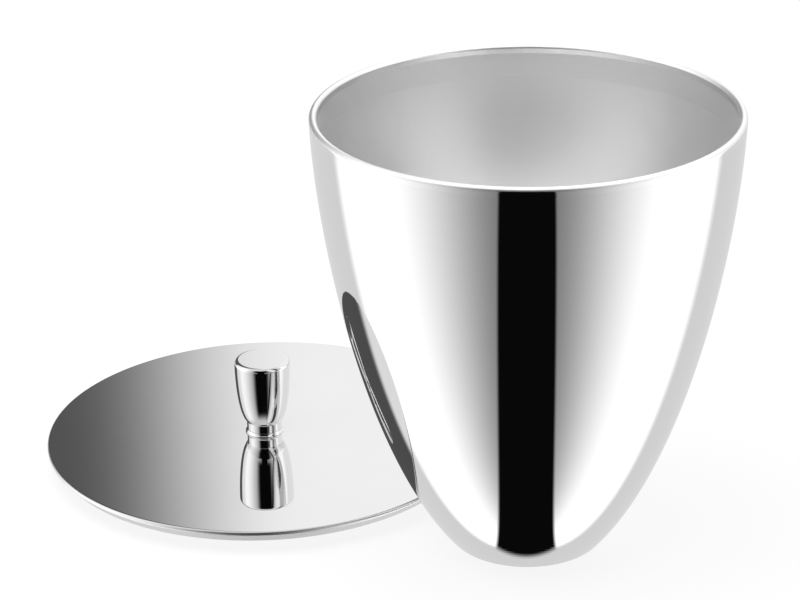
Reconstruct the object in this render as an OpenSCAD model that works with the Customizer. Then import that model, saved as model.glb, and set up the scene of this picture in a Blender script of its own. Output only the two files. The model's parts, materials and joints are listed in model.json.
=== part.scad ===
// Double-walled ice bucket with a loose insulated lid, in millimetres.
// The origin is the centre of the foot, on the table, with +Z up. The bucket
// stands open, and the lid lies beside it on its own plug, knob upwards.

/* [Bucket] */
// Outside diameter at the rim
rim_d = 165; // [155:1:180]
// Height from the table to the top of the rim
bucket_h = 180; // [172:1:195]
// Depth at which the outer curve would close, as a share of the height
curve_depth = 1.085; // [1.08:0.005:1.1]
// Power of the height in the outer curve
height_power = 1.56; // [1.5:0.01:1.6]
// Power of the radius in the outer curve
radius_power = 2.05; // [2:0.01:2.15]
// Thickness of the sheet steel
sheet_t = 0.9; // [0.7:0.1:1]
// Height of the rounded edge between the wall and the base
edge_h = 1.2; // [1:0.1:1.6]

/* [Rim and liner] */
// Width of the rounded lip
lip_w = 3; // [2.8:0.1:3.4]
// Height of the lip ring above the sheet edges
lip_h = 3.2; // [3:0.1:4.5]
// Depth of the tongue that keeps the two walls apart
tongue_h = 3; // [2:0.5:5]
// Length of the straight mouth of the liner
mouth_l = 10; // [8:1:14]
// Extra space between the walls, below the mouth
wall_space = 6; // [4:0.5:7]
// Height over which the walls part
wall_blend = 60; // [40:5:90]
// Height of the liner's floor above the table
floor_z = 15; // [15:0.5:20]
// Height of the rounded corner of the floor
corner_h = 6; // [4:0.5:8]

/* [Base] */
// Height that the foot pad stands out below the base
pad_proud = 0.6; // [0.4:0.1:1]
// Radius of the opening in the base that the pad fills
pad_r = 24.5; // [20:0.5:25.5]
// Radius of the disc that closes the base from inside
cap_r = 27.6; // [26.5:0.1:27.8]
// Radius of the vent hole in that disc
vent_r = 1.6; // [1.2:0.1:2.5]
// Thickness of the vent plug's head
vent_head_h = 0.6; // [0.5:0.1:1]
// Radius of the base weight
weight_r = 25; // [20:0.5:26]
// Height of the base weight
weight_h = 8; // [5:0.5:8.5]
// Radius of the pad under the liner's floor
spacer_r = 20; // [15:0.5:22]

/* [Lid] */
// Outside diameter of the lid
lid_d = 185; // [180:1:188]
// Height of the lid's top above the bottom of its plug
lid_h = 10; // [9.5:0.5:14]
// Depth of the plug that drops into the mouth
plug_h = 4.2; // [3.6:0.2:4.8]
// Rounding between the lid's top and its side band
lid_round = 1; // [0.8:0.1:1.4]
// Lean of the side band from upright
band_lean = 42; // [30:1:45]
// Thickness of the lid's underside
pan_t = 0.8; // [0.6:0.1:1]
// Thickness of the sealing ring round the plug
seal_w = 2.2; // [1.8:0.1:3]
// Height of the sealing ring
seal_h = 2.4; // [2:0.1:2.6]
// Gap between the sealing ring and the mouth
seal_gap = 0.3; // [0.2:0.05:0.5]

/* [Knob] */
// Height of the knob above its collar
knob_h = 32; // [30:0.5:36]
// Largest radius of the knob
knob_r = 11.75; // [10:0.25:13]
// Rounding of the knob's top edge
knob_round = 1.7; // [1:0.1:2.5]
// Depth over which the knob's curve would close
knob_depth = 28.4; // [25:0.2:30]
// Power of the height in the knob's curve
knob_height_power = 1.9; // [1.7:0.05:2.2]
// Power of the radius in the knob's curve
knob_radius_power = 4.8; // [4:0.1:6]
// Radius of the neck
neck_r = 7.4; // [6:0.2:8]
// Width by which the collar flares out beyond the neck
collar_flare = 0.7; // [0.5:0.1:2]
// Height of the collar
collar_h = 1.5; // [1.2:0.1:2]
// Rounding of the collar's lower edge
collar_round = 0.3; // [0.2:0.1:0.5]

/* [Fastening] */
// Radius of the screw's shank
screw_r = 2; // [1.5:0.25:2.5]
// Length of screw in the knob
screw_grip = 13; // [8:1:16]
// Radius of the screw's head
head_r = 3.8; // [3.5:0.1:4.2]
// Height of the screw's head
head_h = 2.4; // [2:0.1:2.6]
// Radius of the disc that backs the lid under the knob
backing_r = 15; // [12:1:20]
// Thickness of that disc
backing_t = 1.5; // [1:0.1:1.6]
// Radius of the flat washer
washer_r = 4.5; // [4.3:0.1:5.5]
// Thickness of the flat washer
washer_t = 0.8; // [0.6:0.1:1]
// Radius of the spring washer
spring_r = 3.6; // [3:0.1:3.8]
// Thickness of the spring washer
spring_t = 1; // [0.8:0.1:1.2]

/* [Where the lid lies] */
// Distance from the bucket's axis to the lid's axis
lid_away = 133.5; // [133:0.5:200]
// Direction from the bucket to the lid, in degrees from +X
lid_bearing = 147; // [0:1:359]

/* [Hidden] */

$fn = 120;
steel = [0.81, 0.81, 0.81];
satin_steel = [0.76, 0.76, 0.76];
plain_steel = [0.61, 0.61, 0.62];
silicone = [0.88, 0.88, 0.86];
dark_rubber = [0.20, 0.20, 0.21];
foam = [0.93, 0.90, 0.80];

// Small gap between two pieces that don't touch.
play = 0.05;
// Extra length that a cut needs at each end.
cut = 1;
wall_step = 4;
arc_step = 15;
rim_r = rim_d / 2;
mouth_r = rim_r - lip_w;
lip_z = bucket_h - lip_h;
straight_z = lip_z - mouth_l;
base_z = pad_proud;
base_top = base_z + sheet_t;
cap_top = base_top + sheet_t;
vent_head_r = vent_r + 1;
weight_top = cap_top + weight_h;
lid_r = lid_d / 2;
plug_r = mouth_r - seal_gap - seal_w;
plug_round = 1.4;
root_round = 0.4;
plate_under = lid_h - sheet_t;
hole_r = screw_r + 0.2;
backing_z = plate_under - backing_t;
washer_z = backing_z - washer_t;
spring_z = washer_z - spring_t;
head_z = spring_z - head_h;
knob_z = lid_h + collar_h;

// Radius of a curve that is r wide at its top and closes at depth, at a drop below the top.
function taper(r, drop, depth, a, b) = r * pow(1 - pow(drop / depth, a), 1 / b);

function wall_r(z) =
    taper(rim_r, bucket_h - z, curve_depth * bucket_h, height_power, radius_power);

// Rises smoothly from 0 to 1 as u goes from 0 to 1, and stays there.
function blend(u) = let (v = min(u, 1)) v * v * (3 - 2 * v);

function liner_r(z) =
    wall_r(z) - (wall_r(straight_z) - mouth_r)
    - wall_space * blend((straight_z - z) / wall_blend);

function arc(centre, r, a0, a1) =
    let (n = ceil(abs(a1 - a0) / arc_step))
    [for (i = [0:n]) let (a = a0 + (a1 - a0) * i / n) centre + r * [cos(a), sin(a)]];

// Unit vector to the left of the path at its point i.
function left_of(path, i) =
    let (step = path[min(i + 1, len(path) - 1)] - path[max(i - 1, 0)])
    [-step[1], step[0]] / norm(step);

// Sheet of thickness t along a path of [radius, height] points, turned about Z.
// It lies to the left of the path, or to the right when t is negative.
module spun_sheet(path, t) {
    last = len(path) - 1;
    other = [for (i = [0:last]) path[last - i] + t * left_of(path, last - i)];
    rotate_extrude() polygon(concat(path, other));
}

module ring(inner, outer, z, h) {
    translate([0, 0, z])
        difference() {
            cylinder(r = outer, h = h);
            translate([0, 0, -cut]) cylinder(r = inner, h = h + 2 * cut);
        }
}

module at_lid() {
    rotate([0, 0, lid_bearing]) translate([lid_away, 0, 0]) children();
}

// Heights from low to high in even steps of about wall_step, without the first.
function heights(low, high) =
    let (n = ceil((high - low) / wall_step)) [for (i = [1:n]) low + (high - low) * i / n];

module outer_shell() {
    edge_z = base_z + edge_h;
    lean = atan2(0.1, wall_r(edge_z + 0.1) - wall_r(edge_z));
    round_r = edge_h / (1 - cos(lean));
    edge_c = [wall_r(edge_z) - round_r * sin(lean), base_z + round_r];
    color(steel)
        spun_sheet(
            concat(
                [[pad_r, base_z]],
                arc(edge_c, round_r, -90, lean - 90),
                [for (z = heights(edge_z, lip_z - play)) [wall_r(z), z]]
            ),
            sheet_t
        );
}

module inner_liner() {
    corner_z = floor_z + corner_h;
    lean = atan2(0.1, liner_r(corner_z + 0.1) - liner_r(corner_z));
    round_r = corner_h / (1 - cos(lean));
    corner_c = [liner_r(corner_z) - round_r * sin(lean), floor_z + round_r];
    color(satin_steel)
        spun_sheet(
            concat(
                [[0, floor_z]],
                arc(corner_c, round_r, -90, lean - 90),
                [for (z = heights(corner_z, straight_z)) [liner_r(z), z]],
                [[mouth_r, lip_z]]
            ),
            -sheet_t
        );
}

// Half-round lip over both sheet edges, with a tongue between them.
module rim_ring() {
    tongue_in = mouth_r + sheet_t + play;
    tongue_out = wall_r(lip_z - tongue_h) - sheet_t - play;
    color(steel)
        rotate_extrude() {
            translate([rim_r - lip_w / 2, bucket_h - lip_w / 2]) circle(r = lip_w / 2);
            translate([mouth_r, lip_z]) square([lip_w, lip_h - lip_w / 2]);
            translate([tongue_in, lip_z - tongue_h])
                square([tongue_out - tongue_in, tongue_h + play]);
        }
}

module base_cap() {
    color(plain_steel) ring(vent_r, cap_r, base_top, sheet_t);
}

// Plug that seals the vent hole, with its head in a pocket of the foot pad.
module vent_plug() {
    shank_h = sheet_t + 1;
    color(plain_steel) {
        translate([0, 0, base_top - vent_head_h]) cylinder(r = vent_head_r, h = vent_head_h);
        translate([0, 0, base_top - play]) cylinder(r = vent_r - play, h = shank_h + play);
    }
}

module foot_pad() {
    pocket_r = vent_head_r + 0.3;
    pocket_h = vent_head_h + 0.1;
    color(dark_rubber)
        difference() {
            cylinder(r = pad_r - play, h = base_top);
            translate([0, 0, base_top - pocket_h]) cylinder(r = pocket_r, h = pocket_h + cut);
        }
}

module base_weight() {
    color(plain_steel) ring(vent_head_r, weight_r, cap_top, weight_h);
}

module liner_spacer() {
    color(foam)
        translate([0, 0, weight_top])
            cylinder(r = spacer_r, h = floor_z - sheet_t - weight_top);
}

// Top sheet of the lid, turned down into a side band that leans inwards.
function band_c() = [lid_r - lid_round, lid_h - lid_round];
function band_top() = band_c() + lid_round * [cos(band_lean), -sin(band_lean)];
function band_foot() =
    let (drop = band_top()[1] - plug_h) [band_top()[0] - drop * tan(band_lean), plug_h];

module lid_plate() {
    color(steel)
        at_lid()
            spun_sheet(
                concat(
                    [[hole_r, lid_h]],
                    arc(band_c(), lid_round, 90, -band_lean),
                    [band_foot()]
                ),
                -sheet_t
            );
}

// Underside of the lid, with the plug pressed down into it.
module lid_pan() {
    pan_r = band_foot()[0] - sheet_t * cos(band_lean) - play;
    color(satin_steel)
        at_lid()
            spun_sheet(
                concat(
                    [[0, 0]],
                    arc([plug_r - plug_round, plug_round], plug_round, -90, 0),
                    arc([plug_r + root_round, plug_h - root_round], root_round, 180, 90),
                    [[pan_r, plug_h]]
                ),
                pan_t
            );
}

// Silicone ring stretched round the plug, with its outer corners bevelled.
module seal_ring() {
    bevel = 0.4;
    low = plug_h - root_round - seal_h;
    outer = plug_r + seal_w;
    color(silicone)
        at_lid()
            rotate_extrude()
                polygon([
                    [plug_r, low],
                    [outer - bevel, low],
                    [outer, low + bevel],
                    [outer, low + seal_h - bevel],
                    [outer - bevel, low + seal_h],
                    [plug_r, low + seal_h]
                ]);
}

module lid_insulation() {
    foam_in = backing_r + 1;
    foam_out = plug_r - plug_round - play;
    color(foam) at_lid() ring(foam_in, foam_out, pan_t, plate_under - pan_t);
}

module knob_backing() {
    color(plain_steel) at_lid() ring(hole_r, backing_r, backing_z, backing_t);
}

module flat_washer() {
    color(plain_steel) at_lid() ring(hole_r, washer_r, washer_z, washer_t);
}

// Split ring, pressed flat.
module spring_washer() {
    split_w = 0.6;
    color(plain_steel)
        at_lid()
            difference() {
                ring(hole_r, spring_r, spring_z, spring_t);
                translate([0, -split_w / 2, spring_z - cut])
                    cube([spring_r + cut, split_w, spring_t + 2 * cut]);
            }
}

module knob_screw() {
    socket_r = 1.45;
    socket_h = 1.4;
    color(plain_steel)
        at_lid()
            difference() {
                union() {
                    translate([0, 0, head_z]) cylinder(r = head_r, h = head_h);
                    translate([0, 0, spring_z - play])
                        cylinder(r = screw_r, h = knob_z + screw_grip - spring_z + play);
                }
                translate([0, 0, head_z - cut])
                    cylinder(r = socket_r, h = socket_h + cut, $fn = 6);
            }
}

// Turned washer under the knob: as wide as the neck at its top, flared out to a rounded lower edge.
module knob_collar() {
    slope = atan2(collar_flare, collar_h);
    round_c = [neck_r + collar_flare - collar_round, lid_h + collar_round];
    color(steel)
        at_lid()
            rotate_extrude()
                polygon(
                    concat(
                        [[hole_r, lid_h]],
                        arc(round_c, collar_round, -90, slope),
                        [[neck_r, knob_z], [hole_r, knob_z]]
                    )
                );
}

// Solid knob: straight neck, body that widens upwards, rounded top edge, flat top.
module knob() {
    top_z = knob_z + knob_h;
    wide_z = top_z - knob_round;
    neck_drop = knob_depth
        * pow(1 - pow(neck_r / knob_r, knob_radius_power), 1 / knob_height_power);
    steps = 16;
    body = [
        for (i = [steps:-1:1])
            let (drop = neck_drop * i / steps)
            [taper(knob_r, drop, knob_depth, knob_height_power, knob_radius_power), wide_z - drop]
    ];
    color(steel)
        at_lid()
            difference() {
                rotate_extrude()
                    polygon(
                        concat(
                            [[0, knob_z], [neck_r, knob_z]],
                            body,
                            arc([knob_r - knob_round, wide_z], knob_round, 0, 90),
                            [[0, top_z]]
                        )
                    );
                translate([0, 0, knob_z - cut])
                    cylinder(r = screw_r + play, h = screw_grip + 2 * cut);
            }
}

foot_pad();
base_cap();
vent_plug();
base_weight();
outer_shell();
liner_spacer();
inner_liner();
rim_ring();
lid_pan();
seal_ring();
lid_insulation();
lid_plate();
knob_backing();
flat_washer();
spring_washer();
knob_screw();
knob_collar();
knob();
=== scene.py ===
"""Looks of the ice bucket: polished walls, satin liner, and a loose lid with a turned knob."""
import json
import math

import bmesh
import bpy
import numpy as np
from mathutils import Matrix, Vector


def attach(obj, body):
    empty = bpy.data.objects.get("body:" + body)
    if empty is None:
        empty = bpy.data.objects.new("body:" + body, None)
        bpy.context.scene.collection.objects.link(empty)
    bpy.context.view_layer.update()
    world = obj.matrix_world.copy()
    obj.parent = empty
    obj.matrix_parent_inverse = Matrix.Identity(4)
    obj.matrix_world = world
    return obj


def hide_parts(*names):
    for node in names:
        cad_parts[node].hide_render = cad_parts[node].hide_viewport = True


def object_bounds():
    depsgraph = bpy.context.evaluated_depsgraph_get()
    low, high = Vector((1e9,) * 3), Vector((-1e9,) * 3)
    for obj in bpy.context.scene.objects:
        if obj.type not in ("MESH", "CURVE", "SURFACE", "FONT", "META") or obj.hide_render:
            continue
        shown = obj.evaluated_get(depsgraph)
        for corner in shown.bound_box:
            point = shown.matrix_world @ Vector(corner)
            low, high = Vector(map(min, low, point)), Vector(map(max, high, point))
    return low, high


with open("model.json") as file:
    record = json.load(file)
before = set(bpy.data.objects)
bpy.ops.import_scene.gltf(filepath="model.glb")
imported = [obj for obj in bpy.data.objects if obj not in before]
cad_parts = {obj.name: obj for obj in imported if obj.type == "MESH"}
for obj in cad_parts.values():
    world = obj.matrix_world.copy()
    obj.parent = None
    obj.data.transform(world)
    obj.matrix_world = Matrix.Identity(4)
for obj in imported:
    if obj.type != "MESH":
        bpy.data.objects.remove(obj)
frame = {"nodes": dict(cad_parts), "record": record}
cad_low, cad_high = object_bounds()
nodes = frame["nodes"]
record = frame["record"]
mounts = {m["name"]: m for m in record["mounts"]}
finishes = {m["slot"]: m["base_color"] for m in record["materials"]}

MM = 0.001
SEGMENTS = 256
SMOOTH_ANGLE = math.radians(32)

bucket_at = Vector((mounts["foot"]["pos_m"][0], mounts["foot"]["pos_m"][1], 0.0))
lid_at = Vector((mounts["lid_plug"]["pos_m"][0], mounts["lid_plug"]["pos_m"][1], 0.0))


# ---------------------------------------------------------------- shapes read from the CAD nodes

def polar(node, at):
    """Distance from the vertical axis through at, and height, of every vertex of a CAD node."""
    co = np.empty(len(nodes[node].data.vertices) * 3)
    nodes[node].data.vertices.foreach_get("co", co)
    co = co.reshape(-1, 3) - np.array(at)
    return np.hypot(co[:, 0], co[:, 1]), co[:, 2]


def extent(node, at):
    """Smallest and largest distance from the axis, lowest and highest point of a CAD node."""
    r, z = polar(node, at)
    return r.min(), r.max(), z.min(), z.max()


def facing(node, at, sign):
    """(radius, height) of the rings on faces that look away from the axis, low to high.
    With sign -1, of those that look towards it."""
    mesh = nodes[node].data
    r, z = polar(node, at)
    found = set()
    for p in mesh.polygons:
        out = p.center - at
        out.z = 0.0
        if sign * p.normal.dot(out) > 0.1 * out.length:
            found.update((r[v], z[v]) for v in p.vertices)
    rings = []
    for q in sorted(found, key=lambda q: (q[1], q[0])):
        if not rings or math.dist(q, rings[-1]) > 0.05 * MM:
            rings.append(q)
    return rings


def bends(rings):
    """The rings without those on the straight line between their neighbours."""
    kept = rings[:1]
    for q, after in zip(rings[1:-1], rings[2:]):
        a, b = np.subtract(q, kept[-1]), np.subtract(after, kept[-1])
        if abs(a[0] * b[1] - a[1] * b[0]) / math.hypot(*b) > 0.0015 * MM:
            kept.append(q)
    return kept + rings[-1:]


def above_fillet(rings):
    """The rings from the end of the closely stepped fillet at the low end up."""
    steps = [b[1] - a[1] for a, b in zip(rings, rings[1:])]
    return rings[next(i for i, step in enumerate(steps) if step > 3 * MM):]


def spline(points, step):
    """A smooth curve of about even steps through points, by a cubic spline along their chord length."""
    p = np.array(points, float)
    t = np.concatenate([[0.0], np.cumsum(np.hypot(*np.diff(p, axis=0).T))])
    h = np.diff(t)
    n = len(p)
    a = np.eye(n)
    a[0, 1] = a[-1, -2] = -1.0
    b = np.zeros((n, 2))
    for i in range(1, n - 1):
        a[i, i - 1:i + 2] = h[i - 1], 2 * (h[i - 1] + h[i]), h[i]
        b[i] = 6 * ((p[i + 1] - p[i]) / h[i] - (p[i] - p[i - 1]) / h[i - 1])
    bend = np.linalg.solve(a, b)
    at = np.linspace(0.0, t[-1], max(2, int(math.ceil(t[-1] / step)) + 1))
    i = np.clip(np.searchsorted(t, at, side="right") - 1, 0, n - 2)
    u, w, g = at - t[i], t[i + 1] - at, h[i]
    out = (
        (bend[i] * (w ** 3)[:, None] + bend[i + 1] * (u ** 3)[:, None]) / (6 * g[:, None])
        + (p[i] / g[:, None] - bend[i] * g[:, None] / 6) * w[:, None]
        + (p[i + 1] / g[:, None] - bend[i + 1] * g[:, None] / 6) * u[:, None]
    )
    return [tuple(q) for q in out]


def arc(centre, radius, start, end, steps=12):
    """Points round centre from angle start to angle end, in degrees."""
    turns = [math.radians(start + (end - start) * i / steps) for i in range(steps + 1)]
    return [(centre[0] + radius * math.cos(a), centre[1] + radius * math.sin(a)) for a in turns]


def rounded_corner(flat_z, curve):
    """Arc from a flat at height flat_z up to the start of a curve, without its last point."""
    rise = np.subtract(curve[1], curve[0])
    lean = math.degrees(math.atan2(rise[1], rise[0]))
    r = (curve[0][1] - flat_z) / (1 - math.cos(math.radians(lean)))
    centre = (curve[0][0] - r * math.sin(math.radians(lean)), flat_z + r)
    return arc(centre, r, -90.0, lean - 90.0, 16)[:-1]


def offset(path, t):
    """path moved by t to its left."""
    p = np.array(path, float)
    d = np.gradient(p, axis=0)
    d /= np.hypot(d[:, 0], d[:, 1])[:, None]
    return [tuple(q) for q in p + t * np.stack([-d[:, 1], d[:, 0]], 1)]


def brace(outline, gap):
    """Adds a ring close to each end of a long straight stretch, so that its shading stays flat."""
    out = []
    for i, p in enumerate(outline):
        q = outline[(i + 1) % len(outline)]
        length = math.dist(p, q)
        out.append(p)
        if length > 6 * gap and max(p[0], q[0]) > 0:
            for share in (gap / length, 1 - gap / length):
                out.append((p[0] + (q[0] - p[0]) * share, p[1] + (q[1] - p[1]) * share))
    return out


# ---------------------------------------------------------------- meshes

def lathe(name, outline, at, body, slot, stands_for, gap=0.12 * MM):
    """Turns a closed outline of (radius, height) points about the vertical axis through at."""
    points = brace(outline, gap)
    bm = bmesh.new()
    rings = []
    for r, z in points:
        if r < 1e-7:
            rings.append([bm.verts.new((0.0, 0.0, z))])
        else:
            turns = [math.tau * i / SEGMENTS for i in range(SEGMENTS)]
            rings.append([bm.verts.new((r * math.cos(a), r * math.sin(a), z)) for a in turns])
    for k, low in enumerate(rings):
        high = rings[(k + 1) % len(rings)]
        if len(low) == 1 and len(high) == 1:
            continue
        for i in range(SEGMENTS):
            j = (i + 1) % SEGMENTS
            if len(low) == 1:
                bm.faces.new((low[0], high[j], high[i]))
            elif len(high) == 1:
                bm.faces.new((low[i], low[j], high[0]))
            else:
                bm.faces.new((low[i], low[j], high[j], high[i]))
    bmesh.ops.recalc_face_normals(bm, faces=bm.faces)
    mesh = bpy.data.meshes.new(name)
    bm.to_mesh(mesh)
    bm.free()
    mesh.shade_smooth()
    mesh.set_sharp_from_angle(angle=SMOOTH_ANGLE)
    obj = bpy.data.objects.new(name, mesh)
    bpy.context.scene.collection.objects.link(obj)
    obj.location = at
    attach(obj, body)
    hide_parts(stands_for)
    mesh.materials.append(materials[slot])
    return obj


# ---------------------------------------------------------------- node graphs

class Graph:
    """Adds nodes to a node tree. A value is a number, a tuple or another node's output."""

    def __init__(self, tree):
        self.tree = tree
        tree.nodes.clear()

    def node(self, kind, **settings):
        n = self.tree.nodes.new(kind)
        for key, value in settings.items():
            setattr(n, key, value)
        return n

    def feed(self, socket, value):
        if isinstance(value, bpy.types.NodeSocket):
            self.tree.links.new(value, socket)
        else:
            socket.default_value = value

    def math(self, operation, *values, clamp=False):
        n = self.node("ShaderNodeMath", operation=operation, use_clamp=clamp)
        for socket, value in zip(n.inputs, values):
            self.feed(socket, value)
        return n.outputs[0]

    def add(self, *values):
        total = values[0]
        for v in values[1:]:
            total = self.math("ADD", total, v)
        return total

    def times(self, *values):
        total = values[0]
        for v in values[1:]:
            total = self.math("MULTIPLY", total, v)
        return total

    def between(self, value, low, high, from_low=0.0, from_high=1.0):
        """low where value is from_low, high where it is from_high, with smooth steps and flat ends."""
        n = self.node("ShaderNodeMapRange", interpolation_type="SMOOTHSTEP", clamp=True)
        for key, v in (("Value", value), ("From Min", from_low), ("From Max", from_high),
                       ("To Min", low), ("To Max", high)):
            self.feed(n.inputs[key], v)
        return n.outputs[0]

    def split(self, vector):
        n = self.node("ShaderNodeSeparateXYZ")
        self.feed(n.inputs[0], vector)
        return n.outputs[0], n.outputs[1], n.outputs[2]

    def join(self, x, y, z):
        n = self.node("ShaderNodeCombineXYZ")
        for socket, v in zip(n.inputs, (x, y, z)):
            self.feed(socket, v)
        return n.outputs[0]

    def noise(self, vector, scale, detail=2.0, roughness=0.5):
        n = self.node("ShaderNodeTexNoise", noise_dimensions="3D")
        for key, v in (("Vector", vector), ("Scale", scale), ("Detail", detail), ("Roughness", roughness)):
            self.feed(n.inputs[key], v)
        return n.outputs[0]

    def bump(self, height, distance, normal=None):
        n = self.node("ShaderNodeBump")
        n.inputs["Strength"].default_value = 1.0
        self.feed(n.inputs["Distance"], distance)
        self.feed(n.inputs["Height"], height)
        if normal is not None:
            self.feed(n.inputs["Normal"], normal)
        return n.outputs[0]

    def object_coords(self):
        return self.node("ShaderNodeTexCoord").outputs["Object"]


# ---------------------------------------------------------------- light that the polished metal mirrors

# Brightness of each thing in the studio.
SOFT_BOX = 1.4
BACKDROP = 1.05
PALE_WALL = 0.75
OVERHEAD = 0.8
GREY_CARD = 0.2
DARK_CARD = 0.1
BLACK_CARD = 0.003


# Edges of the cards and boxes: bearings in degrees from the camera, and shares of a sphere of directions.
SIDE_BOX = (5.0, 90.0)
PALE_WALL_EDGE = (115.0, 125.0)
BACKDROP_EDGE = (90.0, 110.0)
DARK_CARD_LEFT = (-176.0, -168.0)
DARK_CARD_RIGHT = (-130.0, -120.0)
UPPER_BLACK_EDGE = (20.0, 40.0)
LOWER_BLACK_HALF = (0.22, 0.25)
LOWER_BLACK_BACK = (0.1, 0.2)
OVERHEAD_EDGE = (0.68, 0.95)
HORIZON = (-0.1, 0.1)


def studio(g, direction):
    """Brightness of the studio in a direction: soft boxes at both sides, a backdrop behind,
    a black card in front and a dark card behind to the left. Bearings grow to the camera's right."""
    x, y, z = g.split(direction)
    bearing = g.times(g.math("ARCTAN2", x, g.times(y, -1.0)), 180 / math.pi)
    turned = g.math("ABSOLUTE", bearing)
    sideways = g.math("ABSOLUTE", x)
    side_boxes = g.between(turned, GREY_CARD, SOFT_BOX, *SIDE_BOX)
    low = g.between(turned, side_boxes, PALE_WALL, *PALE_WALL_EDGE)
    lower_black = g.between(y, BLACK_CARD, low, *LOWER_BLACK_BACK)
    low = g.between(sideways, lower_black, low, *LOWER_BLACK_HALF)
    high = g.between(turned, side_boxes, BACKDROP, *BACKDROP_EDGE)
    dark_left = g.times(
        g.between(bearing, 0.0, 1.0, *DARK_CARD_LEFT), g.between(bearing, 1.0, 0.0, *DARK_CARD_RIGHT)
    )
    high = g.between(dark_left, high, DARK_CARD)
    high = g.between(turned, BLACK_CARD, high, *UPPER_BLACK_EDGE)
    high = g.between(g.between(z, 0.0, 1.0, *OVERHEAD_EDGE), high, OVERHEAD)
    return g.between(g.between(z, 0.0, 1.0, *HORIZON), low, high)


def tint(colour, factor):
    return tuple(c * factor for c in colour) + (1.0,)


def shaded(name, colour, spread, metallic, roughness, build):
    """A Principled material. build(graph, place, radius, height) gives its shade and roughness,
    both 0 to 1, and its normal. spread is how far the colour varies to each side."""
    material = bpy.data.materials.new(name)
    material.use_nodes = True
    g = Graph(material.node_tree)
    place = g.object_coords()
    x, y, z = g.split(place)
    radius = g.math("SQRT", g.add(g.times(x, x), g.times(y, y)))
    shade, rough, normal = build(g, place, radius, z)
    mix = g.node("ShaderNodeMix", data_type="RGBA")
    g.feed(mix.inputs["Factor"], shade)
    g.feed(mix.inputs[6], tint(colour, 1 - spread))
    g.feed(mix.inputs[7], tint(colour, 1 + spread))
    shader = g.node("ShaderNodeBsdfPrincipled")
    g.feed(shader.inputs["Base Color"], mix.outputs[2])
    g.feed(shader.inputs["Metallic"], metallic)
    g.feed(shader.inputs["Roughness"], g.between(rough, roughness[0], roughness[1]))
    if normal is not None:
        g.feed(shader.inputs["Normal"], normal)
    g.feed(g.node("ShaderNodeOutputMaterial").inputs["Surface"], shader.outputs[0])
    return material


def polished(fine, marks, distance):
    """Mirror polish: faint smears, hairlines that follow the turning, and a very slight ripple."""
    def build(g, place, radius, z):
        x, y, _ = g.split(place)
        turn = g.math("ARCTAN2", y, x)
        smear = g.noise(place, 22.0, 3.0, 0.6)
        along = g.join(g.times(radius, fine), g.times(z, fine), g.times(turn, marks))
        lines = g.noise(along, 1.0, 3.0, 0.65)
        ripple = g.noise(place, 45.0, 1.0, 0.5)
        rough = g.add(g.times(smear, 0.6), g.times(g.between(lines, 0.0, 1.0, 0.55, 0.8), 0.4))
        fine_normal = g.bump(lines, distance)
        return smear, rough, g.bump(ripple, 6 * distance, fine_normal)
    return build


def partly_polished(fine, marks, distance, mirror_up, satin_up):
    """Mirror polish where the surface's upward lean is mirror_up, turning to satin where it is satin_up."""
    def build(g, place, radius, z):
        shade, rough, normal = polished(fine, marks, distance)(g, place, radius, z)
        up = g.split(g.node("ShaderNodeNewGeometry").outputs["Normal"])[2]
        low, high = sorted((mirror_up, satin_up))
        ends = (0.0, 1.0) if satin_up > mirror_up else (1.0, 0.0)
        return shade, g.add(g.times(rough, 0.05), g.between(up, *ends, low, high)), normal
    return build


def turned(fine, marks, distance):
    """Satin finish: fine rings round the axis over slightly cloudy metal."""
    def build(g, place, radius, z):
        x, y, _ = g.split(place)
        turn = g.math("ARCTAN2", y, x)
        cloud = g.noise(place, 28.0, 3.0, 0.6)
        along = g.join(g.times(radius, fine), g.times(z, fine), g.times(turn, marks))
        lines = g.noise(along, 1.0, 4.0, 0.7)
        grain = g.noise(place, 900.0, 2.0, 0.6)
        shade = g.add(g.times(cloud, 0.5), g.times(lines, 0.5))
        rough = g.add(g.times(cloud, 0.5), g.times(grain, 0.5))
        return shade, rough, g.bump(lines, distance)
    return build


def grainy(scale, distance, cloud_scale):
    """Moulded or cast surface: even grain with slow changes of tone."""
    def build(g, place, radius, z):
        cloud = g.noise(place, cloud_scale, 3.0, 0.6)
        grain = g.noise(place, scale, 4.0, 0.65)
        return cloud, grain, g.bump(grain, distance)
    return build


def cells(scale, distance):
    """Rigid foam: small closed cells."""
    def build(g, place, radius, z):
        n = g.node("ShaderNodeTexVoronoi")
        g.feed(n.inputs["Vector"], place)
        g.feed(n.inputs["Scale"], scale)
        cell = g.math("MULTIPLY", n.outputs[0], 1.4, clamp=True)
        cloud = g.noise(place, 60.0, 2.0, 0.5)
        return g.add(g.times(cell, 0.6), g.times(cloud, 0.4)), cloud, g.bump(cell, distance)
    return build


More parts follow.
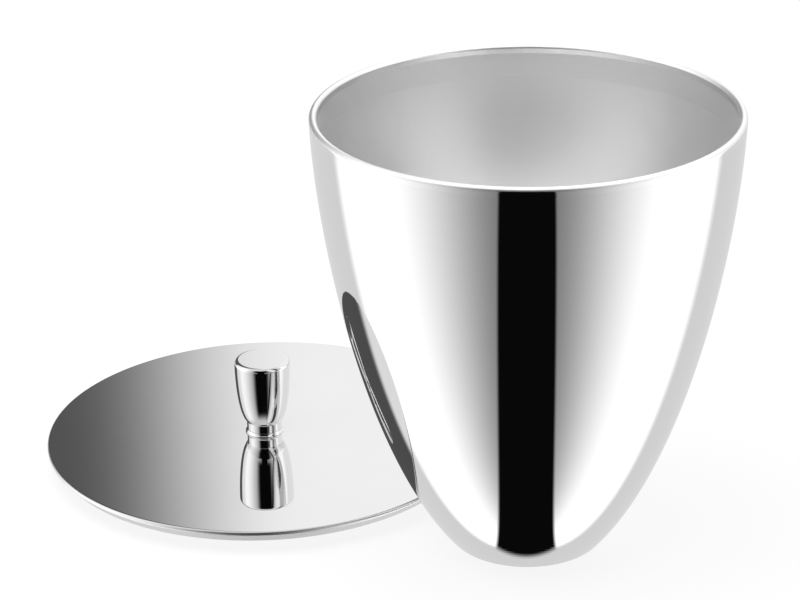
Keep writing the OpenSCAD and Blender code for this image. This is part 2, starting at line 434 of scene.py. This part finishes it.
materials = {
    "shell_mirror": shaded("shell_mirror", finishes["shell_mirror"], 0.01, 1.0, (0.012, 0.05),
                           polished(5000.0, 3.0, 3e-7)),
    "rim_mirror": shaded("rim_mirror", finishes["rim_mirror"], 0.01, 1.0, (0.03, 0.42),
                         partly_polished(7000.0, 3.0, 3e-7, 0.0, 0.35)),
    "lid_mirror": shaded("lid_mirror", finishes["lid_mirror"], 0.03, 1.0, (0.008, 0.34),
                         partly_polished(2600.0, 2.0, 5e-7, 0.985, 0.80)),
    "knob_mirror": shaded("knob_mirror", finishes["knob_mirror"], 0.01, 1.0, (0.012, 0.045),
                          polished(9000.0, 3.0, 2e-7)),
    "liner_satin": shaded("liner_satin", finishes["liner_satin"], 0.08, 1.0, (0.32, 0.52),
                          turned(3200.0, 1.5, 4e-6)),
    "pan_satin": shaded("pan_satin", finishes["pan_satin"], 0.04, 1.0, (0.26, 0.40),
                        turned(2600.0, 1.5, 4e-6)),
    "plain_steel": shaded("plain_steel", finishes["plain_steel"], 0.06, 1.0, (0.30, 0.50),
                          turned(3500.0, 2.0, 6e-6)),
    "weight_iron": shaded("weight_iron", finishes["weight_iron"], 0.12, 1.0, (0.50, 0.75),
                          grainy(700.0, 6e-5, 60.0)),
    "silicone": shaded("silicone", finishes["silicone"], 0.03, 0.0, (0.40, 0.60),
                       grainy(1500.0, 8e-6, 80.0)),
    "pad_rubber": shaded("pad_rubber", finishes["pad_rubber"], 0.15, 0.0, (0.55, 0.80),
                         grainy(1800.0, 2e-5, 90.0)),
    "foam": shaded("foam", finishes["foam"], 0.06, 0.0, (0.75, 0.95),
                   cells(700.0, 1.5e-4)),
}

for part in record["subparts"]:
    mesh = nodes[part["node"]].data
    mesh.materials.clear()
    mesh.materials.append(materials[part["material_slot"]])


# ---------------------------------------------------------------- bucket

sheet_t = extent("base_cap", bucket_at)[3] - extent("base_cap", bucket_at)[2]

# Outer wall: the CAD rings from the top of the rounded base edge up, faired by a spline.
pad_hole_r, _, base_z, _ = extent("outer_shell", bucket_at)
wall_curve = spline(above_fillet(bends(facing("outer_shell", bucket_at, 1))), 1.5 * MM)
wall_path = [(pad_hole_r, base_z)] + rounded_corner(base_z, wall_curve) + wall_curve
wall_outline = wall_path + offset(wall_path, sheet_t)[::-1]
lathe("outer_wall", wall_outline, bucket_at, "bucket", "shell_mirror", "outer_shell")

# Lip: the wall's curve carried up into a half-round over both sheet edges, with its hidden tongue.
lip_in, rim_r, tongue_z, rim_z = extent("rim_ring", bucket_at)
lip_z = wall_curve[-1][1]
lip_r = (rim_r - lip_in) / 2
lip_centre = (rim_r - lip_r, rim_z - lip_r)
tongue = [q for q in facing("rim_ring", bucket_at, 1) if q[1] < tongue_z + 0.1 * MM]
tongue_out = tongue[0][0]
tongue_in = min(q[0] for q in facing("rim_ring", bucket_at, -1) if q[1] < tongue_z + 0.1 * MM)
lip_outline = (
    [(tongue_out, lip_z), wall_curve[-1]]
    + spline([wall_curve[-1], ((wall_curve[-1][0] + rim_r) / 2 + 0.01 * MM, (lip_z + lip_centre[1]) / 2),
              (rim_r, lip_centre[1])], 0.3 * MM)[1:-1]
    + arc(lip_centre, lip_r, 0.0, 180.0, 28)
    + [(lip_in, lip_z), (tongue_in, lip_z), (tongue_in, tongue_z), (tongue_out, tongue_z)]
)
lip = lathe("lip", lip_outline, bucket_at, "bucket", "rim_mirror", "rim_ring", gap=0.05 * MM)

# Liner: floor, rounded corner and wall up to the straight mouth.
floor_z = extent("inner_liner", bucket_at)[2] + sheet_t
liner_rings = above_fillet(bends(facing("inner_liner", bucket_at, -1)))
liner_curve = spline(liner_rings[:-1], 2 * MM)
liner_path = (
    [(0.0, floor_z)] + rounded_corner(floor_z, liner_curve) + liner_curve + [(lip_in, lip_z)]
)
liner_back = offset(liner_path, -sheet_t)
liner_back[0] = (0.0, floor_z - sheet_t)
liner_back[-1] = (lip_in + sheet_t, lip_z)
liner = lathe("liner", liner_path + liner_back[::-1], bucket_at, "bucket", "liner_satin", "inner_liner")

# Foot: a moulded pad with a bevelled edge and the pocket for the vent plug.
_, pad_r, _, pad_top = extent("foot_pad", bucket_at)
_, vent_head_r, _, _ = extent("vent_plug", bucket_at)
head_play = 0.3 * MM
pocket_depth = 0.7 * MM
pocket_r = vent_head_r + head_play
pocket_z = pad_top - pocket_depth
pad_round = 0.35 * MM
foot_outline = (
    [(0.0, 0.0)]
    + arc((pad_r - pad_round, pad_round), pad_round, -90.0, 0.0, 6)
    + [(pad_r, pad_top), (pocket_r, pad_top), (pocket_r, pocket_z), (0.0, pocket_z)]
)
lathe("foot", foot_outline, bucket_at, "bucket", "pad_rubber", "foot_pad", gap=0.05 * MM)


# ---------------------------------------------------------------- lid

screw_hole_r, lid_r, _, lid_top = extent("lid_plate", lid_at)
band = facing("lid_plate", lid_at, 1)
band_low = band[0]
round_low = [q for q in band if q[1] > band_low[1] + 1 * MM][0]
band_lean = math.atan2(round_low[0] - band_low[0], round_low[1] - band_low[1])
lid_round = 1.0 * MM
lid_centre = (lid_r - lid_round, lid_top - lid_round)
lid_path = (
    [(screw_hole_r, lid_top)]
    + arc(lid_centre, lid_round, 90.0, -math.degrees(band_lean), 20)
    + [band_low]
)
lid_path = brace(lid_path, 0.3 * MM)[:-2]
lid_outline = lid_path + offset(lid_path, -sheet_t)[::-1]
lathe("lid_top", lid_outline, lid_at, "lid", "lid_mirror", "lid_plate")

_, pan_r, _, pan_top = extent("lid_pan", lid_at)
pan_t = extent("lid_insulation", lid_at)[2]
plug_r = extent("seal_ring", lid_at)[0]
plug_z = pan_top - pan_t
plug_round = 1.4 * MM
root_round = 0.4 * MM
pan_path = (
    [(0.0, 0.0)]
    + arc((plug_r - plug_round, plug_round), plug_round, -90.0, 0.0, 10)
    + arc((plug_r + root_round, plug_z - root_round), root_round, 180.0, 90.0, 6)
    + [(pan_r, plug_z)]
)
pan_path = brace(pan_path, 0.2 * MM)[:-2]
pan_back = offset(pan_path, pan_t)
pan_back[0] = (0.0, pan_t)
lathe("lid_underside", pan_path + pan_back[::-1], lid_at, "lid", "pan_satin", "lid_pan")

_, seal_r, seal_z, seal_top = extent("seal_ring", lid_at)
bevel = 0.4 * MM
seal_outline = (
    [(plug_r, seal_z)]
    + arc((seal_r - bevel, seal_z + bevel), bevel, -90.0, 0.0, 6)
    + arc((seal_r - bevel, seal_top - bevel), bevel, 0.0, 90.0, 6)
    + [(plug_r, seal_top)]
)
lathe("lid_seal", seal_outline, lid_at, "lid", "silicone", "seal_ring", gap=0.05 * MM)


# ---------------------------------------------------------------- knob

# Collar: from the neck's width at its top, flared out in a hollow curve to a thin rounded lower edge.
_, _, collar_z, collar_top = extent("knob_collar", lid_at)
collar_rings = facing("knob_collar", lid_at, 1)
collar_neck_r = min(r for r, _ in collar_rings)
tip = [q for q in collar_rings if q[1] < (collar_z + collar_top) / 2]
tip_top = tip[-1]
flare = tip_top[0] - collar_neck_r
flare_h = collar_top - tip_top[1]
FLARE_POWER = 1.6
collar_outline = (
    [(screw_hole_r, collar_z)] + tip
    + [(collar_neck_r + flare * (1 - u) ** FLARE_POWER, tip_top[1] + flare_h * u)
       for u in (0.15, 0.3, 0.45, 0.6, 0.75, 0.9, 1.0)]
    + [(screw_hole_r, collar_top)]
)
lathe("lid_knob_collar", collar_outline, lid_at, "lid", "knob_mirror", "knob_collar", gap=0.05 * MM)

_, knob_r, knob_z, knob_top = extent("knob", lid_at)
knob_rings = bends(facing("knob", lid_at, 1))
neck = [q for q in knob_rings if q[1] < knob_z + 0.2 * MM][-1]
widest = max(q[1] for q in knob_rings if q[0] > knob_r - 0.01 * MM)
body_rings = [q for q in knob_rings if knob_z + 1 * MM < q[1] <= widest]
knob_round = knob_top - widest
at_r, at_z = polar("knob", lid_at)
bore_r = at_r[at_r > 1 * MM].min()
bore_top = float(np.round(at_z[np.abs(at_r - bore_r) < 0.01 * MM], 6).max())
neck_round = 0.25 * MM
knob_outline = (
    [(bore_r, knob_z)]
    + arc((neck[0] - neck_round, knob_z + neck_round), neck_round, -90.0, 0.0, 6)
    + [(body_rings[0][0], body_rings[0][1] - 0.08 * MM)]
    + spline(body_rings, 0.5 * MM)
    + arc((knob_r - knob_round, widest), knob_round, 0.0, 90.0, 20)[1:]
    + [(0.0, knob_top), (0.0, bore_top), (bore_r, bore_top)]
)
lathe("lid_knob", knob_outline, lid_at, "lid", "knob_mirror", "knob", gap=0.05 * MM)


# ---------------------------------------------------------------- studio

world = bpy.data.worlds.new("studio")
bpy.context.scene.world = world
world.use_nodes = True
g = Graph(world.node_tree)
seen = studio(g, g.node("ShaderNodeTexCoord").outputs["Generated"])
camera_ray = g.node("ShaderNodeLightPath").outputs["Is Camera Ray"]
level = g.between(camera_ray, seen, 1.0)
background = g.node("ShaderNodeBackground")
g.feed(background.inputs["Color"], g.join(level, level, level))
g.feed(background.inputs["Strength"], 1.0)
g.feed(g.node("ShaderNodeOutputWorld").inputs["Surface"], background.outputs[0])

# The floor is white, mostly lit from within so that it stays even, and not seen in the polished metal.
FLOOR_GLOW = 0.86
floor_mesh = bpy.data.meshes.new("floor")
reach = 6.0
floor_mesh.from_pydata([(-reach, -reach, 0), (reach, -reach, 0), (reach, reach, 0), (-reach, reach, 0)], [],
                       [(0, 1, 2, 3)])
floor = bpy.data.objects.new("floor", floor_mesh)
bpy.context.scene.collection.objects.link(floor)
floor.location.z = cad_low.z
floor.visible_glossy = False
floor_material = bpy.data.materials.new("floor_white")
floor_material.use_nodes = True
g = Graph(floor_material.node_tree)
diffuse = g.node("ShaderNodeBsdfDiffuse")
g.feed(diffuse.inputs["Color"], (0.9, 0.9, 0.9, 1.0))
glow = g.node("ShaderNodeEmission")
g.feed(glow.inputs["Color"], (1.0, 1.0, 1.0, 1.0))
g.feed(glow.inputs["Strength"], 1.0)
mix = g.node("ShaderNodeMixShader")
g.feed(mix.inputs[0], FLOOR_GLOW)
g.feed(mix.inputs[1], diffuse.outputs[0])
g.feed(mix.inputs[2], glow.outputs[0])
g.feed(g.node("ShaderNodeOutputMaterial").inputs["Surface"], mix.outputs[0])
floor_mesh.materials.append(floor_material)

lamp_data = bpy.data.lights.new("softbox", "AREA")
lamp_data.shape = "DISK"
lamp_data.size = 1.6
lamp_data.energy = 26.0
lamp = bpy.data.objects.new("softbox", lamp_data)
bpy.context.scene.collection.objects.link(lamp)
lamp.location = (-0.3, -0.2, 1.9)
lamp.rotation_euler = (Vector((0, 0, 0.05)) - lamp.location).to_track_quat("-Z", "Y").to_euler()
lamp.visible_glossy = False


def overhead(name, piece, energy):
    """A wide soft box over the mouth that lights one piece alone."""
    data = bpy.data.lights.new(name, "AREA")
    data.shape = "DISK"
    data.size = 2.4
    data.energy = energy
    box = bpy.data.objects.new(name, data)
    bpy.context.scene.collection.objects.link(box)
    box.location = (-0.05, 0.1, 1.1)
    box.rotation_euler = (Vector((0, 0, rim_z)) - box.location).to_track_quat("-Z", "Y").to_euler()
    lit = bpy.data.collections.new(name)
    lit.objects.link(piece)
    box.light_linking.receiver_collection = lit


overhead("liner_light", liner, 26.0)
overhead("lip_light", lip, 11.0)

# ---------------------------------------------------------------- camera

camera_data = bpy.data.cameras.new("camera")
camera_data.sensor_width = 36.0
camera_data.lens = 120.6
camera = bpy.data.objects.new("camera", camera_data)
bpy.context.scene.collection.objects.link(camera)
camera.location = (0.0, -0.9558, 0.5139)
yaw, pitch, roll = (math.radians(a) for a in (-2.95, 23.28, -0.97))
camera.rotation_euler = (
    Matrix.Rotation(-yaw, 3, "Z")
    @ Matrix.Rotation(math.pi / 2 - pitch, 3, "X")
    @ Matrix.Rotation(roll, 3, "Z")
).to_euler()
bpy.context.scene.camera = camera
bpy.context.scene.view_settings.view_transform = "Standard"
